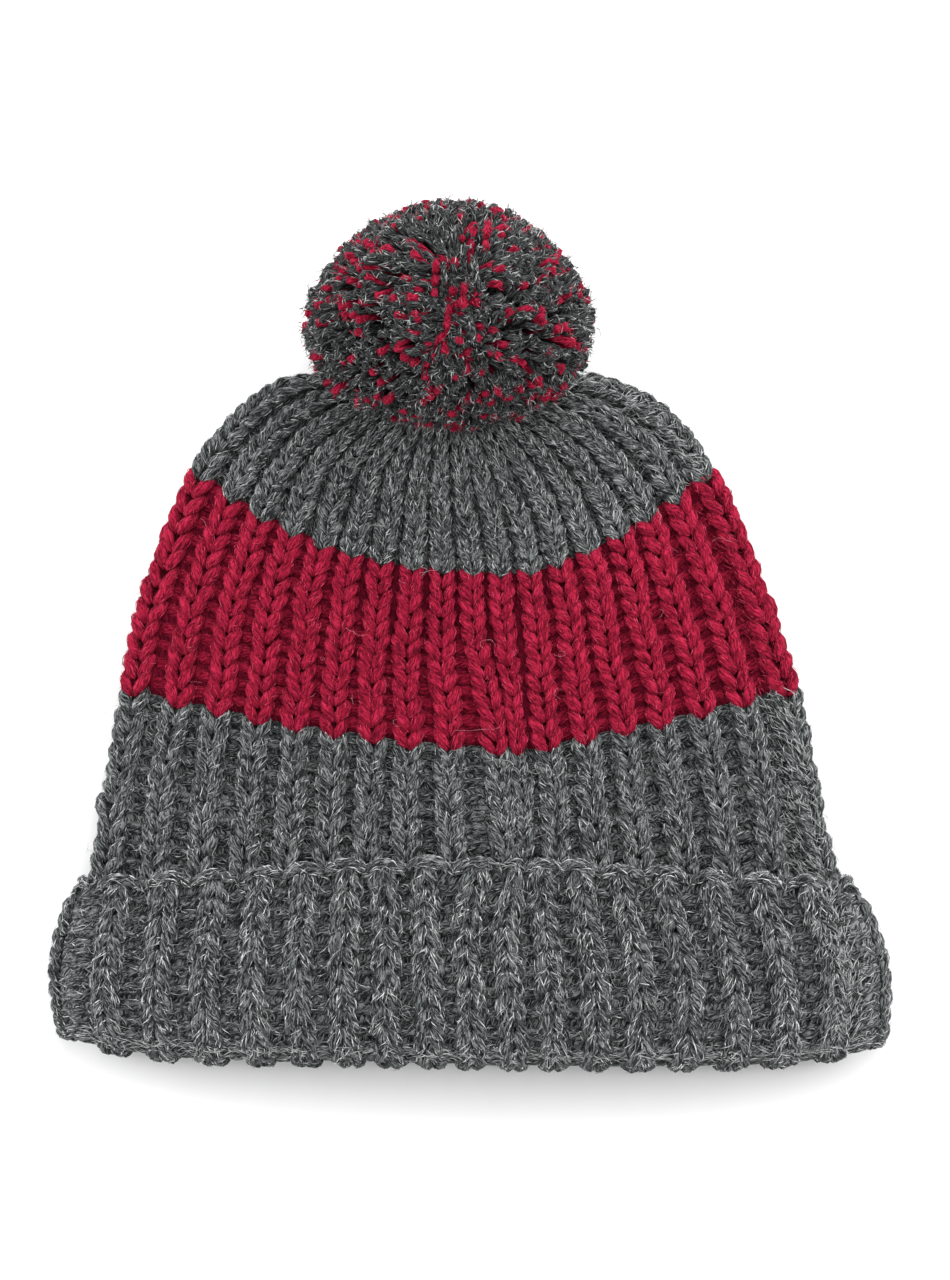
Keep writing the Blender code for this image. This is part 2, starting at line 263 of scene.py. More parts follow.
# The pompom's strands go from its core to their cut ends, and bend between. Those are shares of how far the
# pompom reaches in their direction, which is the solid's own reach, evened out and never far past it.
GREY_STRANDS = 2900
RED_STRANDS = 480
RED_LONGER = 1.012
STRAND_ROOT = 0.60
STRAND_BENDS = (0.78, 0.88)
STRAND_ENDS = (0.955, 0.982)
BLUNT_FROM = 0.96
CORE_SHARE = 0.64
STRAND_EGG = 0.18
EVENNESS = 0.72
PAST_SOLID = 1.22
POMPOM_SHIFT = (0.0006, -0.0014, 0.0)

# Strands start evenly round the ball, a golden angle apart, and stray from that by shares of a step and
# radians
GOLDEN_ANGLE = math.pi * (3 - math.sqrt(5))
STEP_STRAYS = (0.1, 0.9)
TURN_STRAYS = 0.9

# The core's faces, the metres of pattern that go round it and over it, where the rays that find the
# solid start, and the reach where they find none
CORE_SEGMENTS = 48
CORE_RINGS = 24
CORE_MAP = (0.20, 0.09)
RAY_START = 0.2
LEAST_REACH = 0.03

# Radii of the strands in millimetres, at the root and how much more at the cut end, how they vary along a
# strand as the least and most share, and how unevenly a grey strand runs
GREY_RADII = (0.75, 0.65)
RED_RADII = (0.95, 0.40)
LYING_GREY_RADII = (1.0, 0.0)
LYING_RED_RADII = (1.05, 0.0)
GREY_GIRTHS = (0.80, 1.15)
RED_GIRTHS = (0.86, 1.10)
LYING_RED_GIRTHS = (0.9, 1.1)
GREY_UNEVEN = 0.35
LYING_GREY_UNEVEN = 0.3
STRANDS_UP = np.array([0.3, 0.2, 0.9])

# Hairs on each strand, how far round it they lie, and where along it they begin
GREY_HAIRS = 7
GREY_INMOST = 0.50
GREY_LONGER = 1.15
RED_HAIRS = 8
RED_INMOST = 0.45
ALL_ROUND = 3.1
LYING_GREY_HAIRS = 44
LYING_RED_HAIRS = 30
LYING_ARC = 1.6

# Long strands that lie in the parting, as places across and along the hat in millimetres
LYING_RED = (
    ((-5.7, 97.1), (-6.3, 90.5), (-6.9, 85.1), (-9.6, 82.1), (-15.0, 79.1)),
    ((-9.9, 106.1), (-10.3, 100.0), (-10.5, 94.1)),
    ((-1.8, 98.3), (-1.9, 95.0), (-2.1, 91.1)),
    ((5.4, 118.1), (4.9, 114.0), (4.5, 109.1)),
    ((7.2, 79.1), (3.0, 78.4), (-1.2, 77.3)),
)
LYING_GREY = (
    ((-6.0, 111.5), (-4.6, 102.5), (-3.9, 95.0), (-3.6, 86.0), (-2.0, 79.0)),
    ((-3.0, 112.0), (-1.4, 103.0), (0.4, 95.0), (0.8, 87.0), (1.8, 80.0)),
    ((-8.4, 109.0), (-7.8, 102.0), (-8.0, 95.0), (-7.4, 88.0), (-4.0, 77.0)),
    ((0.6, 108.0), (1.6, 101.0), (2.6, 94.0), (4.4, 87.0), (7.0, 82.0)),
    ((-1.0, 90.0), (-0.4, 85.0), (1.6, 80.0), (4.0, 75.0), (6.5, 71.0)),
)
LYING_DEPTH = 0.0018
LYING_RED_LIFT = 0.0016

# The parting is a short groove on the unit sphere. Strands lean away from it within a width, are shorter
# within a narrower one, and scatter more there. Widths are squares of a distance on that sphere.
PARTING = (0.02, -0.17, 1.0)
GROOVE = np.array([0.16, 0.99, 0.0])
GROOVE_REACH = (-0.22, 0.42)
LEAN = 0.44
LEAN_WIDTH = 0.22
HOLLOW = 0.15
HOLLOW_WIDTH = 0.05
ROOTS_SCATTER = 0.05
TIPS_SCATTER = 0.04
PARTING_SCATTER = 0.09

# Waves that gather the strands into tufts
SWIRL = np.array([[0.9, -0.5, 0.3], [0.4, 0.8, -0.7], [-0.5, 0.3, 1.0]])
SWIRL_WAVES = 4.0
SWIRL_START = (0.3, 1.9, 4.0)
SWIRL_SIZE = 0.07

# Wool on the yarn's map, in millimetres along and around it. Fibres run with the twist, and are drawn out
# along it. The plies are radians of a wave for each millimetre over the twist. The noises' scales are for
# each metre.
TWIST_ALONG = 0.88
TWIST_AROUND = 0.47
STREAK_ALONG = 0.36
STREAK_OVER = 2.1
STREAK_WANDER = 4.0
WANDER_SCALE = 420.0
PATCH_SCALE = 150.0
PATCH_CONTRAST = 0.5
COLOUR_STOPS = (0.15, 0.50, 0.85)
PLIES = 5.2
FIBRE_RELIEF = 1.8
RELIEF_STRENGTH = 0.7
RELIEF_DISTANCE = 0.0004
WOOL_ROUGHNESS = 0.95
WOOL_GLOSS = 0.10
SHEEN_ROUGHNESS = 0.6
GREY_TINT = (0.80, 0.82, 0.82)
RED_TINT = (0.80, 0.10, 0.20)

# The camera looks down from the mouth's side
VIEW_TARGET = (0.0015, -0.0018, 0.012)
VIEW_TILT = math.radians(4.5)
VIEW_DISTANCE = 2.2
VIEW_CLIP = (0.05, 20.0)
FRAME_HEIGHT = 0.384
SENSOR = 36.0

# The floor, the light all round, and each lamp's name, place, size and power
FLOOR_SIZE = 6.0
FLOOR_GAP = 0.0002
FLOOR_GREY = 0.86
FLOOR_ROUGHNESS = 0.8
SURROUNDINGS = 0.55
LAMPS = (
    ("overhead", (0.0, 0.3, 1.7), 1.0, 14.0),
    ("left", (-1.1, 0.2, 0.42), 0.9, 15.0),
    ("right", (1.1, 0.3, 0.42), 0.9, 14.0),
    ("back", (0.3, 1.2, 0.55), 0.9, 16.0),
    ("front", (0.0, -1.2, 0.60), 0.9, 6.0),
)

rng = np.random.default_rng(7)


def smoothstep(value):
    """Goes smoothly from 0 to 1 as the value does, and stays level outside."""
    s = np.clip(value, 0.0, 1.0)
    return s * s * (3 - 2 * s)


def unit(vectors):
    """The vectors at length 1."""
    return vectors / np.maximum(np.linalg.norm(vectors, axis=-1, keepdims=True), 1e-12)


def section_value(column, down):
    """The named column of SECTIONS at these shares down the body, on a smooth curve through its rows."""
    table = np.array(SECTIONS)
    knots = table[:, 0]
    values = table[:, SECTION_COLUMNS.index(column)]
    slopes = np.gradient(values, knots)
    k = np.clip(np.searchsorted(knots, down, side="right") - 1, 0, len(knots) - 2)
    step = knots[k + 1] - knots[k]
    s = (down - knots[k]) / step
    return (
        values[k] * (1 + 2 * s) * (1 - s) ** 2
        + values[k + 1] * s * s * (3 - 2 * s)
        + slopes[k] * step * s * (1 - s) ** 2
        + slopes[k + 1] * step * s * s * (s - 1)
    )


def row_of_fabric(down, angle):
    """Points of one row of stitches. The angle runs 0 to pi over the front and on to 2 pi underneath."""
    half_width = section_value("half_width", down) * BODY_WIDTH / 2
    fold_radius = section_value("fold", down) * SIDE_FOLD
    into_face = np.clip((angle % np.pi - FOLD_ARC) / (np.pi - 2 * FOLD_ARC), 0, 1)
    front = angle % (2 * np.pi) < np.pi
    straight = np.where(front, 1, -1) * (2 * into_face - 1)
    across = straight - fold_radius / half_width * (straight + np.cos(angle)) if half_width else straight
    x = section_value("lean", down) * BODY_WIDTH / 2 + half_width * across

    side_y = section_value("side_y", down)
    middle_y = section_value("middle_y", down)
    lowest = section_value("lowest", down)
    to_left = np.clip((lowest - across) / (1 + lowest), 0, 1) ** section_value("smile_left", down)
    to_right = np.clip((across - lowest) / (1 - lowest), 0, 1) ** section_value("smile_right", down)
    y = FOLD_Y + BODY_LENGTH * (middle_y + (side_y - middle_y) * (to_left + to_right))

    arch = section_value("loft", down) * BODY_LOFT - 2 * fold_radius
    on_cuff = 1 - smoothstep((y - HEM_Y - DRAPE_START) / DRAPE_LENGTH)
    rest = HALF_THICKNESS - PRESSED + LAYER_PITCH * on_cuff
    over = np.where(front, arch * (1 - straight**2), 0.0)
    return np.stack([x, y, rest + SIDE_FOLD + fold_radius * np.sin(angle) + over], axis=-1)


def spread_of_ribs(share, down):
    """Moves shares of the way across a face so that its ribs bunch in the middle and one slips aside."""
    bunched = share + RIB_BUNCHING * np.sin(2 * np.pi * share) / (2 * np.pi)
    from_slip = (share - SLIP_PLACE) / SLIP_WIDTH
    begun = smoothstep((down - SLIP_START[0]) / (SLIP_START[1] - SLIP_START[0]))
    ended = smoothstep((down - SLIP_END[0]) / (SLIP_END[1] - SLIP_END[0]))
    return bunched + SLIP * begun * (1 - ended) * np.exp(-0.5 * from_slip**2)


def body_row(down, rounds):
    """Points of a row at these shares round the body, spaced by the length of the row itself."""
    points = np.empty((len(rounds), 3))
    for start, on_face in ((0.0, rounds < 0.5), (0.5, rounds >= 0.5)):
        angle = np.pi * (2 * start + np.linspace(0, 1, SECTION_SAMPLES))
        line = row_of_fabric(down, angle)
        steps = np.linalg.norm(np.diff(line, axis=0), axis=1)
        length = np.concatenate([[0.0], np.cumsum(steps)])
        share = spread_of_ribs(2 * (rounds[on_face] - start), down)
        wanted = np.interp(share * length[-1], length, angle)
        points[on_face] = row_of_fabric(down, wanted)
    return points


class KnitSurface:
    """The middle surface of a stretch of knit: a grid of points by row and by share round the hat.

    facing is the way that the knit faces at each point, pitch is the width of a rib there, and fold is
    the row round which a cuff turns.
    """

    def __init__(self, points, facing, rows, fold=None):
        self.points = points
        self.facing = facing
        self.rows = rows
        self.fold = fold
        wrapped = np.concatenate([points[:, -2:-1], points, points[:, 1:2]], axis=1)
        around = (wrapped[:, 2:] - wrapped[:, :-2]) / 2
        self.pitch = np.linalg.norm(around, axis=2)[..., None] * (points.shape[1] - 1) / RIBS

    def read(self, grid, row, around):
        """The grid's value at these rows and shares, between its four nearest points."""
        down = row / self.rows * (grid.shape[0] - 1)
        column = (around % 1.0) * (grid.shape[1] - 1)
        r = np.clip(down.astype(int), 0, grid.shape[0] - 2)
        c = np.minimum(column.astype(int), grid.shape[1] - 2)
        s = (down - r)[..., None]
        t = (column - c)[..., None]
        upper = grid[r, c] * (1 - t) + grid[r, c + 1] * t
        lower = grid[r + 1, c] * (1 - t) + grid[r + 1, c + 1] * t
        return upper * (1 - s) + lower * s

    def relief(self, row, around):
        """The share of its height that the knit keeps: less round the fold and at the hem's two corners."""
        if self.fold is None:
            return np.ones_like(row)
        side = self.read(self.facing, row, around)[..., 0]
        at_fold = FOLD_FLATTENING * np.exp(-(((row - self.fold) / FOLD_FLAT_ROWS) ** 2))
        at_hem = HEM_FLATTENING * side**4 * np.exp(-(((row - self.rows) / HEM_FLAT_ROWS) ** 2))
        return 1 - at_fold - at_hem

    def place(self, row, around, height):
        """Points at this height above the middle surface, and the way that the surface faces there."""
        facing = unit(self.read(self.facing, row, around))
        return self.read(self.points, row, around) + facing * height[..., None], facing


def surface_normals(points):
    """The way out of a grid whose columns close round the hat."""
    along = np.gradient(points, axis=0)
    wrapped = np.concatenate([points[:, -2:-1], points, points[:, 1:2]], axis=1)
    return unit(np.cross(along, wrapped[:, 2:] - wrapped[:, :-2]))


def knit_body():
    """The body's surface, with its rows spaced as the stitches of its three bands are."""
    rows = CROWN_ROWS + STRIPE_ROWS + BAND_ROWS
    row_edges = (0, CROWN_ROWS, CROWN_ROWS + STRIPE_ROWS, rows)
    at_rows = np.linspace(0, rows, GRID_DOWN)
    downs = np.interp(at_rows, row_edges, (0.0, STRIPE_TOP, STRIPE_BOTTOM, 1.0))
    rounds = np.linspace(0, 1, GRID_ROUND)
    points = np.array([body_row(down, rounds) for down in downs])
    facing = surface_normals(points)
    # All columns meet at the gathered tip, which faces up the hat
    facing[0] = (0, 1, 0)
    return KnitSurface(points, facing, rows)


def knit_cuff(body):
    """The cuff's surface from inside the mouth, round the fold and up to the hem.

    It faces the side of the knit that shows on the cuff, which is the inside of the body.
    """
    rounds = np.linspace(0, 1, GRID_ROUND)
    start = body.points[-1]
    outward = body.facing[-1]
    onward = unit(start - body.points[-3])
    pitch = LAYER_PITCH - SIDE_PULL * outward[:, :1] ** 2
    half_width = section_value("half_width", 1.0) * BODY_WIDTH / 2
    across = np.clip(start[:, 0] / half_width, -1, 1)
    to_corner = smoothstep((np.abs(across) - CORNER_START) / (1 - CORNER_START))
    left_of_middle = np.exp(-(((across - LEFT_LIFT_PLACE) / LEFT_LIFT_WIDTH) ** 2))
    lift = np.where(across < 0, CORNER_LIFT, -CORNER_DROP) * to_corner + LEFT_LIFT * left_of_middle
    points = []
    facing = []
    for step in range(INNER_ROWS * STEPS_PER_ROW):
        row = np.full(GRID_ROUND, body.rows - INNER_ROWS + step / STEPS_PER_ROW)
        place, out = body.place(row, rounds, np.zeros(GRID_ROUND))
        points.append(place)
        facing.append(-out)
    for step in range(FOLD_ROWS * STEPS_PER_ROW):
        angle = math.pi * step / (FOLD_ROWS * STEPS_PER_ROW)
        away = onward * math.sin(angle) - outward * math.cos(angle)
        raised = lift[:, None] * (0, math.sin(angle / 2), 0)
        points.append(start + outward * pitch / 2 + away * pitch / 2 + raised)
        facing.append(away)
    height = CUFF_HEIGHT_MIDDLE + (CUFF_HEIGHT_SIDE - CUFF_HEIGHT_MIDDLE) * across**2
    for step in range(CUFF_ROWS * STEPS_PER_ROW + 1):
        up = step / (CUFF_ROWS * STEPS_PER_ROW)
        y = start[:, 1] + up * height + (1 - up) * lift
        at = [np.interp(-y[i], -body.points[:, i, 1], np.arange(GRID_DOWN)) for i in range(GRID_ROUND)]
        row = np.array(at) / (GRID_DOWN - 1) * body.rows
        to_hem = smoothstep(1 - (CUFF_ROWS - step / STEPS_PER_ROW) / HEM_PULL_ROWS)
        side = outward[:, 0] ** 2
        rise = LAYER_PITCH + HEM_RISE * to_hem - (SIDE_PULL + HEM_PULL * to_hem) * side
        place, out = body.place(row, rounds, rise)
        points.append(place)
        facing.append(out)
    rows = INNER_ROWS + FOLD_ROWS + CUFF_ROWS
    return KnitSurface(np.array(points), np.array(facing), rows, INNER_ROWS + FOLD_ROWS * FOLD_CENTRE)


class Lengths:
    """Many lengths of yarn: their middle lines (lengths by stations by 3), radii, and the way each faces."""

    def __init__(self, centres, radii, ups):
        self.centres = centres
        self.radii = radii
        self.tangents = unit(np.gradient(centres, axis=1))
        self.sides = unit(np.cross(self.tangents, ups))
        self.lifts = np.cross(self.sides, self.tangents)

    def read(self, values, pick, along):
        """Values of the picked lengths at these shares along them."""
        at = np.clip(along, 0, 1) * (values.shape[1] - 1)
        i = np.minimum(at.astype(int), values.shape[1] - 2)
        share = at - i
        if values.ndim == 3:
            share = share[..., None]
        return values[pick[:, None], i] * (1 - share) + values[pick[:, None], i + 1] * share


class Yarn:
    """One closed length of yarn, modelled once. The rings of a sphere become stations of a path.

    With one ring it is a hair, made from a cone: its stations are the tip, the ring and the base's middle.
    """

    def __init__(self, sides, rings):
        self.stations = rings + 2
        if rings > 1:
            bpy.ops.mesh.primitive_uv_sphere_add(segments=sides, ring_count=rings + 1, radius=1.0)
        else:
            bpy.ops.mesh.primitive_cone_add(vertices=sides, radius1=1.0, radius2=0.0, end_fill_type="TRIFAN")
        shape = bpy.context.object
        mesh = shape.data
        place = np.array([vert.co for vert in mesh.vertices])
        self.turn = np.arctan2(place[:, 1], place[:, 0])
        self.width = (np.hypot(place[:, 0], place[:, 1]) > 1e-4).astype(float)
        self.station = np.where(place[:, 2] > 0, 0, 2 - self.width).astype(int)
        if rings > 1:
            polar = np.arccos(np.clip(place[:, 2], -1, 1)) / np.pi
            self.station = np.rint(polar * (rings + 1)).astype(int)
        self.loops = np.array([loop.vertex_index for loop in mesh.loops])
        self.starts = np.array([face.loop_start for face in mesh.polygons])
        around = np.array([uv.vector.x for uv in mesh.uv_layers[0].uv])
        self.uv = np.stack([around, self.station[self.loops] / (rings + 1)], axis=1)
        bpy.data.objects.remove(shape)

    def spin(self, name, lengths):
        """One mesh in which a copy of this yarn follows each of the lengths."""
        at = self.station
        ring = (np.cos(self.turn) * self.width)[:, None] * lengths.sides[:, at]
        ring = ring + (np.sin(self.turn) * self.width)[:, None] * lengths.lifts[:, at]
        points = lengths.centres[:, at] + lengths.radii[:, at, None] * ring
        points[..., 2] = np.maximum(points[..., 2], 0.0)
        length = np.linalg.norm(np.diff(lengths.centres, axis=1), axis=2).sum(axis=1)
        girth = 2 * np.pi * lengths.radii.max(axis=1)
        uv = self.uv[None] * np.stack([girth, length], axis=1)[:, None]
        uv = uv + rng.uniform(0, 4, (len(points), 1, 2))
        return join_copies(name, points, self.loops, self.starts, uv)


def lay_hairs(name, yarn, per_length, arc=HAIR_ARC, inmost=HAIR_INMOST, longer=1.0):
    """Fine hairs that lie along the yarn with its twist, and stand off it a little at their tips.

    They lie up to arc radians round from its upper side, from the inmost share of its length onwards.
    """
    middle = yarn.centres.shape[1] // 2
    counts = np.where(yarn.lifts[:, middle, 2] > FACES_DOWN, per_length, -(-per_length // FEWER_BELOW))
    pick = np.repeat(np.arange(len(yarn.centres)), counts)
    count = len(pick)
    reach = np.linalg.norm(np.diff(yarn.centres, axis=1), axis=2).sum(axis=1)[pick]
    span = HAIR_LENGTH * longer * rng.uniform(*HAIR_LENGTHS, count) / reach
    first = rng.uniform(inmost, 1.0, count) - span / 2
    s = np.linspace(0, 1, HAIR.stations)[None]
    way = rng.choice((-1, 1), count)[:, None]
    along = first[:, None] + span[:, None] * (0.5 + way * (s - 0.5))
    turn = rng.uniform(-arc, arc, count)[:, None]
    turn = turn + rng.normal(HAIR_TWIST, HAIR_TWIST_VARIES, count)[:, None] * (s - 0.5) * way
    side = yarn.read(yarn.sides, pick, along)
    up = yarn.read(yarn.lifts, pick, along)
    off = yarn.read(yarn.radii[..., None], pick, along)[..., 0] * HAIR_SEAT
    off = off + HAIR_LIFT * rng.uniform(0, 1, count)[:, None] * s**2
    out = side * np.sin(turn)[..., None] + up * np.cos(turn)[..., None]
    past = np.where(along > 1, along - 1, np.where(along < 0, along, 0.0)) * reach[:, None]
    centres = yarn.read(yarn.centres, pick, along) + out * off[..., None]
    centres = centres + yarn.read(yarn.tangents, pick, along) * past[..., None]
    radii = np.repeat(HAIR_RADIUS * rng.uniform(*HAIR_GIRTHS, count)[:, None], HAIR.stations, axis=1)
    return HAIR.spin(name, Lengths(centres, radii, out))


def lay_strays(name, surface, first_row, last_row, count):
    """Loose hairs that wander over the knit and stand out from its outline."""
    row = rng.uniform(first_row, last_row, count)
    around = rng.uniform(0, 1, count)
    pitch = surface.read(surface.pitch, row, around)[:, 0]
    s = np.linspace(0, 1, LONG_HAIR.stations)[None]
    step = STRAY_LENGTH * rng.uniform(*STRAY_LENGTHS, count)[:, None] / (LONG_HAIR.stations - 1)
    heading = rng.uniform(0, 2 * np.pi, count)[:, None] + rng.normal(0, STRAY_BEND, count)[:, None] * s
    heading = heading + rng.normal(0, STRAY_KINK, (count, LONG_HAIR.stations))
    x = np.cumsum(step * np.cos(heading), axis=1)
    y = np.cumsum(step * np.sin(heading), axis=1)
    rise = rng.gamma(STRAY_RISE_SHAPE, STRAY_RISE, count)[:, None] * MILLIMETRE
    height = STRAY_SEAT + rise * np.sin(np.pi * s)
    row = np.clip(row[:, None] + y / ROW_HEIGHT, 0.5, surface.rows)
    centres, ups = surface.place(row, around[:, None] + x / pitch[:, None] / RIBS, height)
    radii = np.repeat(STRAY_RADIUS * rng.uniform(*HAIR_GIRTHS, count)[:, None], LONG_HAIR.stations, axis=1)
    return LONG_HAIR.spin(name, Lengths(centres, radii, ups))


def lay_fuzz(name, surface, row, around, heading, height, swing):
    """Short hairs at these rows and shares along an edge of the knit; in the pale wool they are a painted
    highlight.

    heading is their usual angle from the row. They lie at this height on average, in millimetres, and
    the swing higher on the ribs.
    """
    count = len(row)
    s = np.linspace(-0.5, 0.5, HAIR.stations)[None]
    length = rng.uniform(*HAIR_LENGTHS, count)[:, None] * HAIR_LENGTH
    heading = heading + rng.normal(0, FUZZ_HEADING_VARIES, count)[:, None]
    pitch = surface.read(surface.pitch, row, around)
    share = around[:, None] + s * length * np.cos(heading) / pitch / RIBS
    row = row[:, None] + s * length * np.sin(heading) / ROW_HEIGHT
    wave = np.cos(2 * np.pi * share * RIBS)
    millimetres = height + swing * wave + FUZZ_TIP_LIFT * np.abs(s)
    millimetres = millimetres + rng.normal(0, FUZZ_HEIGHT_VARIES, count)[:, None]
    centres, ups = surface.place(row, share, millimetres * MILLIMETRE)
    radii = np.repeat(HAIR_RADIUS * rng.uniform(*FUZZ_GIRTHS, count)[:, None], HAIR.stations, axis=1)
    return HAIR.spin(name, Lengths(centres, radii, ups))


def lay_fold_fuzz(name, surface, count):
    """A line of hairs along the front edge of the fold; in the pale wool they are a painted highlight."""
    around = np.arange(count) / count * 0.5 + rng.normal(0, EDGE_SHARE_VARIES, count)
    row = EDGE_ROW + rng.normal(0, EDGE_ROW_VARIES, count)
    return lay_fuzz(name, surface, row, around, 0.0, EDGE_HEIGHT, EDGE_SWING)


def lay_side_fuzz(name, surface, first_row, last_row, count, swing):
    """A line of hairs just inside the hat's right edge; in the pale wool they are a painted highlight."""
    around = SIDE_SHARE + rng.normal(0, SIDE_SPREAD, count)
    row = rng.uniform(first_row, last_row, count)
    return lay_fuzz(name, surface, row, around, SIDE_HEADING, SIDE_HEIGHT, swing)


def join_copies(name, points, loops, starts, uv):
    """One object from many copies of a mesh: points is copies by vertices by 3, uv copies by corners by 2."""
    copies, count = points.shape[:2]
    mesh = bpy.data.meshes.new(name)
    mesh.vertices.add(copies * count)
    mesh.vertices.foreach_set("co", points.astype(np.float32).ravel())
    corners = (loops[None] + count * np.arange(copies)[:, None]).astype(np.int32)
    mesh.loops.add(corners.size)
    mesh.loops.foreach_set("vertex_index", corners.ravel())
    first = (starts[None] + len(loops) * np.arange(copies)[:, None]).astype(np.int32)
    mesh.polygons.add(first.size)
    mesh.polygons.foreach_set("loop_start", first.ravel())
    layer = mesh.uv_layers.new(name="UVMap")
    layer.uv.foreach_set("vector", uv.astype(np.float32).ravel())
    mesh.update(calc_edges=True)
    mesh.shade_smooth()
    obj = bpy.data.objects.new(name, mesh)
    bpy.context.scene.collection.objects.link(obj)
    return obj


def stitch_places(first_row, last_row, column_offset):
    """The row and the share round the hat of every stitch between two rows."""
    rows, ribs = np.meshgrid(np.arange(first_row, last_row), np.arange(RIBS), indexing="ij")
    return rows.ravel().astype(float), (ribs.ravel() + column_offset) / RIBS


def lay_path(surface, path, rows, arounds, flip=1, spread=0.0):
    """Lays one yarn path at every stitch place. flip is -1 for the left leg of a V.

    Where the ribs are gathered, the stitch is narrowed to fit its rib. spread is the share by which a
    path widens with its rib.
    """
    x, y, z, r = np.array(path).T
    count = len(rows)
    pitch = surface.read(surface.pitch, rows, arounds)[:, 0]
    squeeze = np.minimum(WIDEST_STITCH, FILLED_SHARE * pitch / STITCH_WIDTH)
    widen = squeeze * (1 + spread * (np.maximum(pitch / USUAL_PITCH, 1) - 1))
    widen = widen * (1 + rng.uniform(-WIDTH_VARIES, WIDTH_VARIES, count))
    waver = sum(size * np.sin(by_row * rows + by_turn * arounds) for size, by_row, by_turn in WAVER)
    slide = (waver + rng.normal(0, SLIDE_VARIES, count)) * squeeze * MILLIMETRE
    drop = rng.normal(0, DROP_VARIES, count)
    swell = 1 + rng.uniform(-GIRTH_VARIES, GIRTH_VARIES, count)
    rise = rng.normal(0, RISE_VARIES, count) * MILLIMETRE
    across = flip * x[None] * MILLIMETRE * widen[:, None] + slide[:, None]
    share = arounds[:, None] + across / pitch[:, None] / RIBS
    row = rows[:, None] + 1 - y[None] + drop[:, None]
    flatter = np.minimum(squeeze, 1.0)[:, None] ** HEIGHT_POWER * surface.relief(row, share)
    height = z[None] * MILLIMETRE * flatter + rise[:, None]
    centres, ups = surface.place(row, share, height)
    radii = r[None] * MILLIMETRE * (squeeze**GIRTH_POWER * swell)[:, None]
    return Lengths(centres, radii, ups)


def knit_rows(name, surface, first_row, last_row, column_offset, hairiness, row_shift=0.0, purl_lift=0.0):
    """Rows of rib: columns of V stitches, columns of purl bumps half a rib aside, and their hairs.

    Where the ribs crowd together no purl bump shows, so none is laid. purl_lift raises the bumps.
    """
    rows, arounds = stitch_places(first_row, last_row, column_offset)
    yarn = []
    hairs = []
    for flip in (1, -1):
        legs = lay_path(surface, LEG_PATH, rows + row_shift, arounds, flip)
        yarn.append(LEG_YARN.spin(name, legs))
        hairs.append(lay_hairs(name, legs, hairiness))
    rows, arounds = stitch_places(first_row, last_row, column_offset + 0.5)
    rows = rows - 0.5 + row_shift
    open_valley = surface.read(surface.pitch, np.clip(rows, 0, surface.rows), arounds)[:, 0] > OPEN_PITCH
    rows = rows[open_valley]
    arounds = arounds[open_valley]
    for path in (
        [(x, y, z + purl_lift, r) for x, y, z, r in PURL_PATH],
        [(x, SECOND_ARC_ROW - y, z + purl_lift - SECOND_ARC_DEPTH, r) for x, y, z, r in PURL_PATH],
    ):
        bumps = lay_path(surface, path, rows, arounds, spread=PURL_SPREAD)
        yarn.append(PURL_YARN.spin(name, bumps))
        hairs.append(lay_hairs(name, bumps, max(1, hairiness // FEWER_ON_PURL)))
    return yarn, hairs


def lay_wall(name, surface, first_row, last_row, inner_side, depth):
    """The cloth behind the stitches, and its inner face: a torus stretched over the rings of the wall.

    inner_side is 1 where the grid's back is the inside of the hat, and -1 where its front is. depth is
    how far the cloth lies below the middle of the knit.
    """
    levels = int(last_row - first_row) + 2
    around = np.arange(RIBS * WALL_COLUMNS) / (RIBS * WALL_COLUMNS)
    wave = -np.cos(2 * np.pi * around * RIBS) * inner_side
    rows = np.linspace(first_row, last_row, levels)
    rings = []
    for onward, base, swing in ((1, -depth, CLOTH_SWING), (-1, -depth - CLOTH_THICKNESS, RIB_DEPTH / 4)):
        for row in rows[::onward]:
            height = base + swing * wave * rib_left(surface, row, around)
            ring, _ = surface.place(np.full(len(around), row), around, height)
            ring[:, 2] = np.maximum(ring[:, 2], 0.0)
            rings.append(ring)
    rings = np.array(rings)
    bpy.ops.mesh.primitive_torus_add(
        major_segments=len(around), minor_segments=len(rings), major_radius=1.0, minor_radius=0.25
    )
    wall = bpy.context.object
    wall.name = name
    place = np.array([vert.co for vert in wall.data.vertices])
    turn = np.arctan2(place[:, 1], place[:, 0]) / (2 * np.pi)
    inner = np.arctan2(place[:, 2], np.hypot(place[:, 0], place[:, 1]) - 1.0) / (2 * np.pi)
    ring = np.rint(inner * len(rings)).astype(int) % len(rings)
    column = np.rint(turn * len(around)).astype(int) % len(around)
    wall.data.vertices.foreach_set("co", rings[ring, column].astype(np.float32).ravel())
    uv = np.array([corner.vector for corner in wall.data.uv_layers[0].uv])
    span = (CLOTH_MAP[0], (last_row - first_row) * CLOTH_MAP[1])
    wall.data.uv_layers[0].uv.foreach_set("vector", (uv * span).astype(np.float32).ravel())
    wall.data.uv_layers[0].name = "UVMap"
    wall.data.shade_smooth()
    bpy.ops.object.mode_set(mode="EDIT")
    bpy.ops.mesh.select_all(action="SELECT")
    bpy.ops.mesh.normals_make_consistent(inside=False)
    bpy.ops.object.mode_set(mode="OBJECT")
    return wall


def rib_left(surface, row, around):
    """The share of a rib's depth that is left in this row, which is less where the ribs are gathered."""
    pitch = surface.read(surface.pitch, np.full(len(around), float(row)), around)[:, 0]
    return np.minimum(1.0, pitch / USUAL_PITCH)


def join_piece(name, dressed, slot, *nodes):
    """Joins the parts of a piece, each with its own material, and seats the piece on the frame."""
    bpy.ops.object.select_all(action="DESELECT")
    for material, parts in dressed:
        for part in parts:
            part.data.materials.clear()
            part.data.materials.append(material)
            part.select_set(True)
            bpy.context.view_layer.objects.active = part
    bpy.ops.object.join()
    piece = bpy.context.object
    piece.name = name
    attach(piece, "root")
    if nodes:
        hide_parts(*nodes)


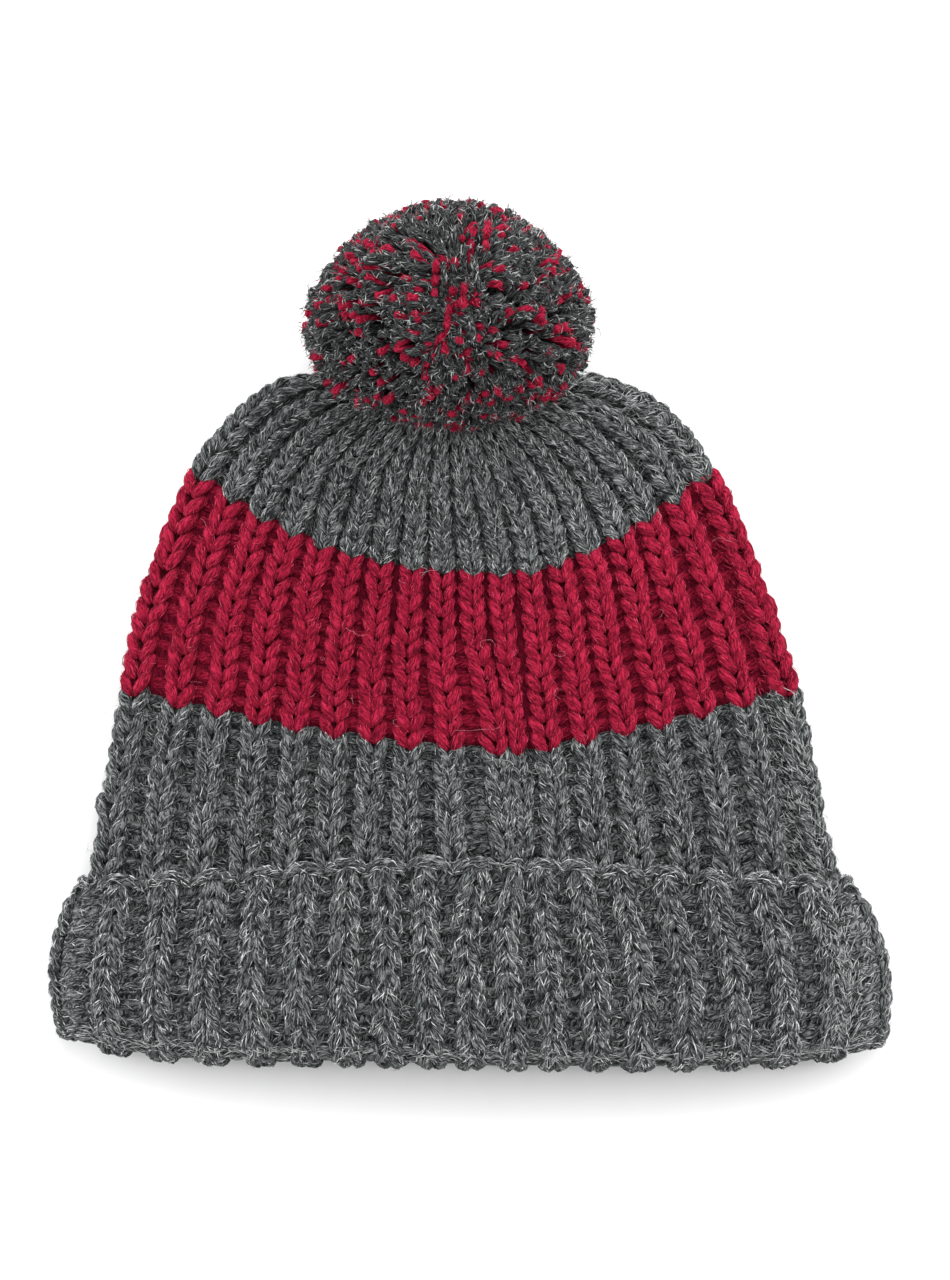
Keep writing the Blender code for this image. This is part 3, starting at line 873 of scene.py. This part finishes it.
class Shade:
    """A material's node tree and one of its sockets. Sums and products on it add Math nodes."""

    def __init__(self, tree, socket=None):
        self.tree = tree
        self.socket = socket

    def node(self, kind, settings=None, sockets=None, output=0):
        """Adds a node with its settings, then the values or links of its sockets."""
        node = self.tree.nodes.new(kind)
        for key, value in (settings or {}).items():
            if key == "stops":
                ramp = node.color_ramp
                while len(ramp.elements) < len(value):
                    ramp.elements.new(1.0)
                for element, (position, colour) in zip(ramp.elements, value):
                    element.position = position
                    element.color = (*colour, 1.0)
            else:
                setattr(node, key, value)
        for key, value in (sockets or {}).items():
            if isinstance(value, Shade):
                self.tree.links.new(value.socket, node.inputs[key])
            else:
                node.inputs[key].default_value = value
        return Shade(self.tree, node.outputs[output])

    def math(self, operation, first, second=0.0):
        return self.node("ShaderNodeMath", {"operation": operation}, {0: first, 1: second})

    def __add__(self, other):
        return self.math("ADD", self, other)

    def __radd__(self, other):
        return self.math("ADD", other, self)

    def __sub__(self, other):
        return self.math("SUBTRACT", self, other)

    def __rsub__(self, other):
        return self.math("SUBTRACT", other, self)

    def __mul__(self, other):
        return self.math("MULTIPLY", self, other)

    def __rmul__(self, other):
        return self.math("MULTIPLY", other, self)


def wool(name, dark, usual, light, contrast, ply_depth, sheen, tint, grain=1.0):
    """Spun wool on the yarn's own map: streaks of fibre that follow the twist of the yarn.

    dark, usual and light are the colours of its fibres. grain is low for a hair, which is one fibre and so
    has nearly one colour.
    """
    material = bpy.data.materials.new(name)
    material.use_nodes = True
    tree = material.node_tree
    shader = tree.nodes["Principled BSDF"]
    start = Shade(tree)
    uv = start.node("ShaderNodeUVMap", {"uv_map": "UVMap"})
    around = start.node("ShaderNodeSeparateXYZ", sockets={"Vector": uv}, output="X") * (1 / MILLIMETRE)
    along = start.node("ShaderNodeSeparateXYZ", sockets={"Vector": uv}, output="Y") * (1 / MILLIMETRE)
    with_twist = along * TWIST_ALONG + around * TWIST_AROUND
    over_twist = around * TWIST_ALONG - along * TWIST_AROUND
    flat = {"noise_dimensions": "2D"}
    soft = {"Vector": uv, "Detail": 2.0}
    wander = start.node("ShaderNodeTexNoise", flat, {**soft, "Scale": WANDER_SCALE})
    drawn_out = with_twist * (STREAK_ALONG * grain)
    side_by_side = over_twist * (STREAK_OVER * grain) + wander * (STREAK_WANDER * grain)
    streak_place = start.node("ShaderNodeCombineXYZ", sockets={"X": drawn_out, "Y": side_by_side})
    streak = start.node(
        "ShaderNodeTexNoise", flat, {"Vector": streak_place, "Scale": 1.0, "Detail": 3.0, "Roughness": 0.66}
    )
    patch = start.node("ShaderNodeTexNoise", flat, {**soft, "Scale": PATCH_SCALE * grain})
    mixture = 0.5 + (streak - 0.5) * contrast + (patch - 0.5) * PATCH_CONTRAST
    stops = tuple(zip(COLOUR_STOPS, (dark, usual, light)))
    colour = start.node("ShaderNodeValToRGB", {"stops": stops}, {"Fac": mixture})
    phase = over_twist * PLIES + wander * STREAK_WANDER
    relief = phase.math("SINE", phase) * ply_depth + streak * FIBRE_RELIEF
    bump = start.node(
        "ShaderNodeBump", sockets={"Strength": RELIEF_STRENGTH, "Distance": RELIEF_DISTANCE, "Height": relief}
    )
    tree.links.new(colour.socket, shader.inputs["Base Color"])
    tree.links.new(bump.socket, shader.inputs["Normal"])
    shader.inputs["Roughness"].default_value = WOOL_ROUGHNESS
    shader.inputs["Specular IOR Level"].default_value = WOOL_GLOSS
    shader.inputs["Sheen Weight"].default_value = sheen
    shader.inputs["Sheen Roughness"].default_value = SHEEN_ROUGHNESS
    shader.inputs["Sheen Tint"].default_value = (*tint, 1.0)
    return material


def make_pompom(solid):
    """Cut yarn that radiates from the pompom's middle and leans away from its parting.

    solid is the pompom's own node, whose surface the cut ends follow.
    """
    half_height = POMPOM_HEIGHT / 2
    tip_x = section_value("lean", 0.0) * BODY_WIDTH / 2
    middle = np.array([tip_x, FOLD_Y + BODY_LENGTH + POMPOM_REACH, half_height - POMPOM_SQUASH])
    seat = middle + POMPOM_SHIFT
    half = np.array([POMPOM_WIDTH / 2, POMPOM_LENGTH / 2, half_height])
    surface = BVHTree.FromPolygons(
        [vert.co for vert in solid.data.vertices], [face.vertices for face in solid.data.polygons]
    )

    def reach(ways):
        """How far the strands go from the middle in each direction: the solid's own tufts, evened out."""
        found = []
        for way in ways:
            hit = surface.ray_cast(Vector(middle) + Vector(way) * RAY_START, Vector(-way))
            found.append(RAY_START - hit[3] if hit[0] is not None else LEAST_REACH)
        egg = np.stack([1 - STRAND_EGG * ways[:, 1], np.ones(len(ways)), np.ones(len(ways))], axis=1)
        smooth = 1 / np.linalg.norm(ways / (half * egg), axis=1)
        mixed = EVENNESS * smooth + (1 - EVENNESS) * np.array(found)
        return np.minimum(mixed, PAST_SOLID * np.array(found))

    parting = unit(np.array(PARTING))
    made = {}
    for name, count, longer in (("grey", GREY_STRANDS, 1.0), ("red", RED_STRANDS, RED_LONGER)):
        order = np.arange(count) + rng.uniform(*STEP_STRAYS, count)
        turn = order * GOLDEN_ANGLE + rng.uniform(0, TURN_STRAYS, count)
        z = 1 - 2 * order / (count + 1)
        flat = np.sqrt(1 - z**2)
        tips = np.stack([flat * np.cos(turn), flat * np.sin(turn), z], axis=1)
        from_line = tips - parting - GROOVE * np.clip((tips - parting) @ GROOVE, *GROOVE_REACH)[:, None]
        distance = (from_line**2).sum(axis=1)
        nearness = np.exp(-distance / LEAN_WIDTH)[:, None]
        roots = unit(tips - unit(from_line) * LEAN * nearness + rng.normal(0, ROOTS_SCATTER, tips.shape))
        swirl = np.sin(tips @ SWIRL * SWIRL_WAVES + SWIRL_START)
        scatter = TIPS_SCATTER + PARTING_SCATTER * nearness
        tips = unit(tips + SWIRL_SIZE * swirl + rng.normal(0, 1, tips.shape) * scatter)
        hollow = 1 - HOLLOW * np.exp(-distance / HOLLOW_WIDTH)
        far = reach(tips) * rng.uniform(*STRAND_ENDS, count) * longer * hollow
        ends = seat + tips * far[:, None]
        starts = seat + roots * (reach(roots) * STRAND_ROOT)[:, None]
        bends = seat + roots * (reach(roots) * rng.uniform(*STRAND_BENDS, count) * hollow)[:, None]
        made[name] = (starts, bends, ends)

    def stretch(name, stations):
        """The middle lines of the strands. Their last two stations lie close together, for a blunt end."""
        starts, bends, ends = (part[:, None] for part in made[name])
        t = np.linspace(0, 1, stations)
        t = np.interp(t, (0, t[-2], 1), (0, BLUNT_FROM, 1))[None, :, None]
        return starts * (1 - t) ** 2 + bends * 2 * t * (1 - t) + ends * t**2

    def lie(paths, stations):
        """The middle lines of strands that lie on the pompom along these paths."""
        lines = []
        for path in paths:
            x, y = np.array(path).T * MILLIMETRE
            at = np.linspace(0, len(path) - 1, stations)
            places = zip(np.interp(at, range(len(path)), x), np.interp(at, range(len(path)), y))
            hits = [surface.ray_cast(Vector((*place, 1.0)), Vector((0, 0, -1)))[0] for place in places]
            lines.append([tuple(hit) for hit in hits])
        return np.array(lines) - (0, 0, LYING_DEPTH)

    def thicken(line, radii, girths):
        """Radii along these strands: at the root, and how much more towards the cut end."""
        root, more = radii
        swell = np.linspace(0, 1, line.shape[1])[None] ** 2
        return (root + more * swell) * MILLIMETRE * rng.uniform(*girths, line.shape[:2])

    # A core ball among the strands' roots. In the pompom's dark wool it is painted shade deep in the pompom.
    bpy.ops.mesh.primitive_uv_sphere_add(segments=CORE_SEGMENTS, ring_count=CORE_RINGS, radius=1.0)
    core = bpy.context.object
    ways = unit(np.array([vert.co for vert in core.data.vertices]))
    places = seat + ways * (reach(ways) * CORE_SHARE)[:, None]
    core.data.vertices.foreach_set("co", places.astype(np.float32).ravel())
    uv = np.array([corner.vector for corner in core.data.uv_layers[0].uv]) * CORE_MAP
    core.data.uv_layers[0].uv.foreach_set("vector", uv.astype(np.float32).ravel())
    core.data.shade_smooth()

    line = stretch("grey", GREY_STRAND_YARN.stations)
    line = line + rng.normal(0, GREY_UNEVEN, line.shape) * MILLIMETRE
    grey = Lengths(line, thicken(line, GREY_RADII, GREY_GIRTHS), STRANDS_UP)
    line = lie(LYING_GREY, LYING_YARN.stations)
    line = line + rng.normal(0, LYING_GREY_UNEVEN, line.shape) * MILLIMETRE
    lying = Lengths(line, thicken(line, LYING_GREY_RADII, GREY_GIRTHS), STRANDS_UP)
    greys = [core, GREY_STRAND_YARN.spin("pompom_grey", grey), LYING_YARN.spin("pompom_grey", lying)]
    hairs = [
        lay_hairs("pompom_hairs", grey, GREY_HAIRS, ALL_ROUND, GREY_INMOST, GREY_LONGER),
        lay_hairs("pompom_hairs", lying, LYING_GREY_HAIRS, LYING_ARC),
    ]
    line = stretch("red", STRAND_YARN.stations)
    red = Lengths(line, thicken(line, RED_RADII, RED_GIRTHS), STRANDS_UP)
    line = lie(LYING_RED, LYING_YARN.stations) + (0, 0, LYING_RED_LIFT)
    lying = Lengths(line, thicken(line, LYING_RED_RADII, LYING_RED_GIRTHS), STRANDS_UP)
    reds = [STRAND_YARN.spin("pompom_red", red), LYING_YARN.spin("pompom_red", lying)]
    red_hairs = [
        lay_hairs("pompom_red_hairs", red, RED_HAIRS, ALL_ROUND, RED_INMOST),
        lay_hairs("pompom_red_hairs", lying, LYING_RED_HAIRS, LYING_ARC),
    ]
    return greys, hairs, reds, red_hairs


def set_camera():
    """A camera high above the hat, tilted a little towards its mouth."""
    camera = bpy.data.objects.new("camera", bpy.data.cameras.new("camera"))
    bpy.context.scene.collection.objects.link(camera)
    back = Vector((0.0, -math.sin(VIEW_TILT), math.cos(VIEW_TILT)))
    camera.location = Vector(VIEW_TARGET) + back * VIEW_DISTANCE
    camera.rotation_mode = "QUATERNION"
    camera.rotation_quaternion = (-back).to_track_quat("-Z", "Y")
    camera.data.sensor_width = SENSOR
    camera.data.lens = SENSOR * VIEW_DISTANCE / FRAME_HEIGHT
    camera.data.clip_start, camera.data.clip_end = VIEW_CLIP
    bpy.context.scene.camera = camera


def set_studio():
    """A pale floor under soft lamps, in even light from all round."""
    bpy.ops.mesh.primitive_plane_add(size=FLOOR_SIZE)
    floor = bpy.context.object
    floor.name = "floor"
    floor.location.z = -FLOOR_GAP
    material = bpy.data.materials.new("pale_floor")
    material.use_nodes = True
    shader = material.node_tree.nodes["Principled BSDF"]
    shader.inputs["Base Color"].default_value = (FLOOR_GREY, FLOOR_GREY, FLOOR_GREY, 1)
    shader.inputs["Roughness"].default_value = FLOOR_ROUGHNESS
    floor.data.materials.append(material)
    world = bpy.data.worlds.new("studio")
    world.use_nodes = True
    world.node_tree.nodes["Background"].inputs["Color"].default_value = (1.0, 1.0, 1.0, 1)
    world.node_tree.nodes["Background"].inputs["Strength"].default_value = SURROUNDINGS
    bpy.context.scene.world = world
    for name, place, size, power in LAMPS:
        light = bpy.data.lights.new(name, "AREA")
        light.size = size
        light.energy = power
        lamp = bpy.data.objects.new(name, light)
        lamp.location = place
        lamp.rotation_mode = "QUATERNION"
        lamp.rotation_quaternion = (Vector((0, 0, 0)) - Vector(place)).to_track_quat("-Z", "Y")
        bpy.context.scene.collection.objects.link(lamp)
    bpy.context.scene.view_settings.view_transform = "Standard"


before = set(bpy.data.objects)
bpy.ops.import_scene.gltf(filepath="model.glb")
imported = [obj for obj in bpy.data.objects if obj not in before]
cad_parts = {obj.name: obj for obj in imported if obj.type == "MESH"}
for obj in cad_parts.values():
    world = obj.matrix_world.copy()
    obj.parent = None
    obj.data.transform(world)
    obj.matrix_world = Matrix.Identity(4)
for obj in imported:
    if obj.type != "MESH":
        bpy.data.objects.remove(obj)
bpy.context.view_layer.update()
bpy.ops.object.select_all(action="DESELECT")
set_camera()
set_studio()

# Each kind of yarn and hair, modelled once, by its sides and rings
LEG_YARN = Yarn(6, 5)
PURL_YARN = Yarn(5, 4)
STRAND_YARN = Yarn(7, 4)
GREY_STRAND_YARN = Yarn(4, 3)
LYING_YARN = Yarn(6, 9)
HAIR = Yarn(3, 1)
LONG_HAIR = Yarn(3, 6)

# Each wool: its dark, usual and light fibres, their contrast, its ply's depth, its sheen, and a hair's grain
grey_wool = wool(
    "grey_wool", (0.004, 0.005, 0.006), (0.027, 0.029, 0.030), (0.17, 0.18, 0.18),
    3.2, 0.3, 0.05, GREY_TINT,
)
grey_hair = wool(
    "grey_hair", (0.031, 0.033, 0.035), (0.168, 0.173, 0.175), (0.48, 0.49, 0.49),
    3.4, 0.2, 0.22, GREY_TINT, 0.2,
)
# A lighter copy of the grey hair for the cuff: painted light that makes the cuff brighter than the body.
cuff_hair_painted_light = wool(
    "cuff_hair_painted_light", (0.05, 0.053, 0.055), (0.272, 0.277, 0.279), (0.65, 0.66, 0.66),
    3.4, 0.2, 0.22, GREY_TINT, 0.2,
)
# The cloth in the creases between the grey ribs, a little lighter than the grey wool: painted light that
# lifts their shade.
grey_back_painted_light = wool(
    "grey_back_painted_light", (0.006, 0.007, 0.008), (0.034, 0.036, 0.038), (0.19, 0.195, 0.195),
    3.4, 0.5, 0.0, GREY_TINT,
)
red_wool = wool(
    "red_wool", (0.068, 0.001, 0.008), (0.218, 0.004, 0.020), (0.38, 0.015, 0.050),
    2.6, 0.4, 0.05, RED_TINT,
)
red_hair = wool(
    "red_hair", (0.12, 0.002, 0.011), (0.29, 0.008, 0.032), (0.52, 0.048, 0.095),
    2.6, 0.2, 0.10, RED_TINT, 0.3,
)
# The cloth in the creases between the red ribs, darker than the red wool: painted shade.
red_back_painted_shade = wool(
    "red_back_painted_shade", (0.05, 0.001, 0.006), (0.13, 0.003, 0.015), (0.25, 0.010, 0.036),
    1.8, 0.5, 0.0, RED_TINT,
)
# Darker copies of the grey wool and hair for the pompom and its core: painted shade of its dense strands.
pompom_wool_painted_shade = wool(
    "pompom_wool_painted_shade", (0.003, 0.003, 0.004), (0.014, 0.0145, 0.015), (0.10, 0.104, 0.104),
    3.4, 0.3, 0.02, GREY_TINT,
)
pompom_hair_painted_shade = wool(
    "pompom_hair_painted_shade", (0.013, 0.014, 0.015), (0.088, 0.090, 0.092), (0.42, 0.43, 0.43),
    3.4, 0.2, 0.10, GREY_TINT, 0.15,
)
# Pale fibres for the loose hairs, and for the hairs along the edges, where they are a painted highlight.
pale_hair_and_painted_highlight = wool(
    "pale_hair_and_painted_highlight", (0.30, 0.31, 0.31), (0.46, 0.47, 0.47), (0.62, 0.62, 0.62),
    1.5, 0.0, 0.1, GREY_TINT,
)
pink_hair = wool(
    "pink_hair", (0.34, 0.06, 0.10), (0.50, 0.16, 0.20), (0.66, 0.40, 0.42),
    1.5, 0.0, 0.1, RED_TINT,
)

body = knit_body()
cuff = knit_cuff(body)
stripe_end = CROWN_ROWS + STRIPE_ROWS
band_shown = stripe_end + BAND_ROWS_SHOWN
# After its name, each set holds the wools of the yarn, the hairs, the cloth behind the stitches, the loose
# hairs and the edge hairs. The cloth's wools paint the creases' tone, with painted shade on the red and
# painted light on the grey. The pale wool on the edge hairs is a painted highlight.
all_grey = ("grey_knit", grey_wool, grey_hair, grey_back_painted_light, pale_hair_and_painted_highlight, pale_hair_and_painted_highlight)
all_red = ("red_knit", red_wool, red_hair, red_back_painted_shade, pink_hair, red_hair)

# The cloth of a piece may run on past its stitches, into the tip or inside the cuff. On the body the ribs
# that stand out lie half a rib from those of the cuff, so the hairs of the painted highlight swing the other
# way.
for name, first, last, wall_rows, (slot, *wools), hairiness, strays, edge_hairs in (
    ("crown", HIDDEN_ROWS, CROWN_ROWS, (1, CROWN_ROWS), all_grey, 22, 170, 190),
    ("stripe", CROWN_ROWS, stripe_end, (CROWN_ROWS, stripe_end), all_red, 17, 60, 260),
    ("band", stripe_end, band_shown, (stripe_end, body.rows), all_grey, 22, 160, 300),
):
    yarn, hairs = knit_rows(name, body, first, last, BODY_COLUMN, hairiness)
    loose = [lay_strays(name, body, first + STRAY_SHIFT, last + STRAY_SHIFT, strays)]
    # The hairs along the right edge; in the pale wool they are a painted highlight.
    fuzz = [lay_side_fuzz(name, body, max(first, FIRST_SEEN_ROW), last, edge_hairs, -SIDE_SWING)]
    walls = [lay_wall(name, body, *wall_rows, 1, BODY_CLOTH_DEPTH)]
    join_piece(name + "_knit", tuple(zip(wools, (yarn, hairs, walls, loose, fuzz))), slot, name)

fold_end = INNER_ROWS + FOLD_ROWS
yarn, hairs = knit_rows("cuff", cuff, 0, cuff.rows, CUFF_COLUMN, CUFF_HAIRS, CUFF_ROW_SHIFT, CUFF_PURL_LIFT)
rows, arounds = stitch_places(cuff.rows - 1, cuff.rows, CUFF_COLUMN)
hem = lay_path(cuff, HEM_PATH, rows, arounds)
yarn.append(PURL_YARN.spin("cuff", hem))
hairs.append(lay_hairs("cuff", hem, HEM_HAIRS))
# The cuff's loose hairs, and the hairs along its fold's edge and right edge, in the pale wool: those along
# the edges are a painted highlight.
loose = [
    lay_strays("cuff", cuff, fold_end, cuff.rows, CUFF_STRAYS),
    lay_fold_fuzz("cuff", cuff, EDGE_HAIRS),
    lay_side_fuzz("cuff", cuff, fold_end, cuff.rows - 0.5, CUFF_SIDE_HAIRS, SIDE_SWING),
]
walls = [lay_wall("cuff", cuff, INNER_ROWS, cuff.rows, -1, CUFF_CLOTH_DEPTH)]
join_piece("cuff_knit", ((grey_wool, yarn), (grey_back_painted_light, walls)), "grey_knit", "cuff")
join_piece("cuff_hairs", ((cuff_hair_painted_light, hairs), (pale_hair_and_painted_highlight, loose)), "grey_knit")

greys, hairs, reds, red_hairs = make_pompom(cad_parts["pompom"])
join_piece("pompom_grey", ((pompom_wool_painted_shade, greys), (pompom_hair_painted_shade, hairs)), "pompom_yarn", "pompom")
join_piece("pompom_red", ((red_wool, reds), (red_hair, red_hairs)), "pompom_yarn")
